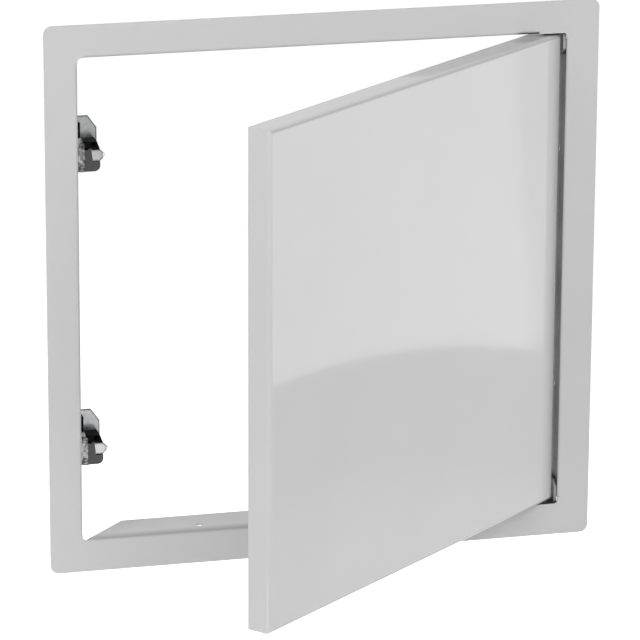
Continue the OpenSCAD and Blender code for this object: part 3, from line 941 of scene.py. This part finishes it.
class PANEL_OT_keepers(bpy.types.Operator):
    """Finish the keepers and thread their studs and nuts"""

    bl_idname = "access_panel.keepers"
    bl_label = "Finish the keepers"

    def execute(self, context):
        settings = context.scene.access_panel.fastener
        zinc = bpy.data.materials["zinc_plate"]
        finish_nodes(zinc, *(f"keeper_{level}" for level in LEVELS))
        inward = swing(PIVOT + np.array([[0, 1, 0]]), -SWING_SHUT)[0] - PIVOT
        studs = list(on_door("keeper_studs"))
        stud_r = studs[0][1][0] / 2
        rods, nuts = [], []
        for foot, size in studs:
            rod = thread_rod(size[1], stud_r, settings.pitch, settings.thread)
            rods.append(stand(rod, foot, inward))
        for foot, size in on_door("keeper_nuts"):
            nut = hex_nut(min(size[0], size[2]), size[1], stud_r)
            nuts.append(stand(nut, foot, inward))
        build("weld_studs", rods, "door", zinc, ("keeper_studs",))
        build("hex_nuts", nuts, "door", zinc, ("keeper_nuts",))
        return {"FINISHED"}


def seen_level(tree, hidden, seen):
    """Level with one value for rays from the camera, in reflections and through glass.

    All other rays, which light the object, get the hidden value.
    """
    chain = Chain(tree)
    path = tree.nodes.new("ShaderNodeLightPath")
    total = path.outputs["Is Camera Ray"]
    for ray in ("Is Glossy Ray", "Is Transmission Ray"):
        total = chain.combine("ADD", total, path.outputs[ray])
    return chain.ramp(total, 0, 1, hidden, seen)


def floor_material():
    """Pale floor that keeps shadows, and is white to the camera and in reflections.

    From below it is clear.
    """
    finish = Finish("floor")
    nodes, links = finish.nodes, finish.links
    finish.set(Base_Color=(0.82, 0.82, 0.82, 1), Roughness=0.9, Emission_Color=(1, 1, 1, 1))
    glow = seen_level(finish.material.node_tree, hidden=0, seen=0.9)
    links.new(glow, finish.shader.inputs["Emission Strength"])
    clear = nodes.new("ShaderNodeBsdfTransparent")
    side = nodes.new("ShaderNodeNewGeometry")
    mix = nodes.new("ShaderNodeMixShader")
    links.new(side.outputs["Backfacing"], mix.inputs["Fac"])
    links.new(finish.shader.outputs["BSDF"], mix.inputs[1])
    links.new(clear.outputs["BSDF"], mix.inputs[2])
    links.new(mix.outputs["Shader"], nodes["Material Output"].inputs["Surface"])
    return finish.material


def white_world(strength):
    """World that lights the object evenly, and is white to the camera and in reflections."""
    world = bpy.data.worlds.new("studio")
    world.use_nodes = True
    background = world.node_tree.nodes["Background"]
    background.inputs["Color"].default_value = (1, 1, 1, 1)
    level = seen_level(world.node_tree, hidden=strength, seen=1)
    world.node_tree.links.new(level, background.inputs["Strength"])
    return world


def area_lamp(name, place, target, width, height, power):
    """Rectangular soft lamp at a place, turned to a target and unseen by the camera."""
    light = bpy.data.lights.new(name, "AREA")
    light.shape = "RECTANGLE"
    light.size, light.size_y = width, height
    light.energy = power
    lamp = bpy.data.objects.new(name, light)
    lamp.location = place
    lamp.rotation_euler = (Vector(target) - Vector(place)).to_track_quat("-Z", "Y").to_euler()
    lamp.visible_camera = False
    bpy.context.scene.collection.objects.link(lamp)
    return lamp


class PANEL_OT_stage(bpy.types.Operator):
    """Set up the floor, the lamps and the camera"""

    bl_idname = "access_panel.stage"
    bl_label = "Set up the stage"

    def execute(self, context):
        scene = context.scene
        settings = scene.access_panel.stage
        scene.view_settings.view_transform = "Standard"
        scene.world = white_world(settings.sky)

        corners = np.array([[-1, -1], [1, -1], [1, 1], [-1, 1]]) * FLOOR_HALF
        mesh = bpy.data.meshes.new("floor")
        mesh.from_pydata([(x, y, settings.floor) for x, y in corners], [], [(0, 1, 2, 3)])
        mesh.materials.append(floor_material())
        floor = bpy.data.objects.new("floor", mesh)
        scene.collection.objects.link(floor)
        floor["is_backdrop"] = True

        for name, place, target, width, height in LAMPS:
            power = getattr(settings, name)
            lamp = area_lamp(f"{name}_lamp", place, target, width, height, power)
            lamp.visible_glossy = name not in LAMPS_NOT_REFLECTED

        camera = bpy.data.cameras.new("camera")
        camera.lens = settings.lens
        camera.clip_end = VIEW_END
        viewer = bpy.data.objects.new("camera", camera)
        sight = (Vector(settings.aim) - Vector(settings.camera)).to_track_quat("-Z", "Y")
        viewer.matrix_world = (Matrix.Translation(settings.camera) @ sight.to_matrix().to_4x4()
                               @ Matrix.Rotation(settings.roll, 4, "Z"))
        scene.collection.objects.link(viewer)
        scene.camera = viewer
        return {"FINISHED"}


OPERATORS = (
    PANEL_OT_sheet, PANEL_OT_welds, PANEL_OT_hinges, PANEL_OT_latches, PANEL_OT_springs,
    PANEL_OT_rivets, PANEL_OT_keepers, PANEL_OT_stage,
)


class PANEL_PT_sidebar(bpy.types.Panel):
    """Lists the steps that dress the access panel"""

    bl_idname = "PANEL_PT_access_panel"
    bl_label = "Access panel"
    bl_space_type = "VIEW_3D"
    bl_region_type = "UI"
    bl_category = "Access panel"

    def draw(self, context):
        for operator in OPERATORS:
            self.layout.operator(operator.bl_idname)


CLASSES = (
    CoatSettings, MetalSettings, PlasticSettings, SpringSettings, FastenerSettings, StageSettings,
    PanelSettings, *OPERATORS, PANEL_PT_sidebar,
)


def register():
    """Registers the settings, the steps and the sidebar."""
    for cls in CLASSES:
        bpy.utils.register_class(cls)
    bpy.types.Scene.access_panel = PointerProperty(type=PanelSettings)


def unregister():
    """Takes all of it out again."""
    del bpy.types.Scene.access_panel
    for cls in reversed(CLASSES):
        bpy.utils.unregister_class(cls)


def main():
    """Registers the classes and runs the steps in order."""
    register()
    for operator in OPERATORS:
        group, name = operator.bl_idname.split(".")
        getattr(getattr(bpy.ops, group), name)()
    boxes = {"cad": cad_bounds, "visual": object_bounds()}
    {name: [list(corner) for corner in box] for name, box in boxes.items()}


if __name__ == "__main__":
    main()
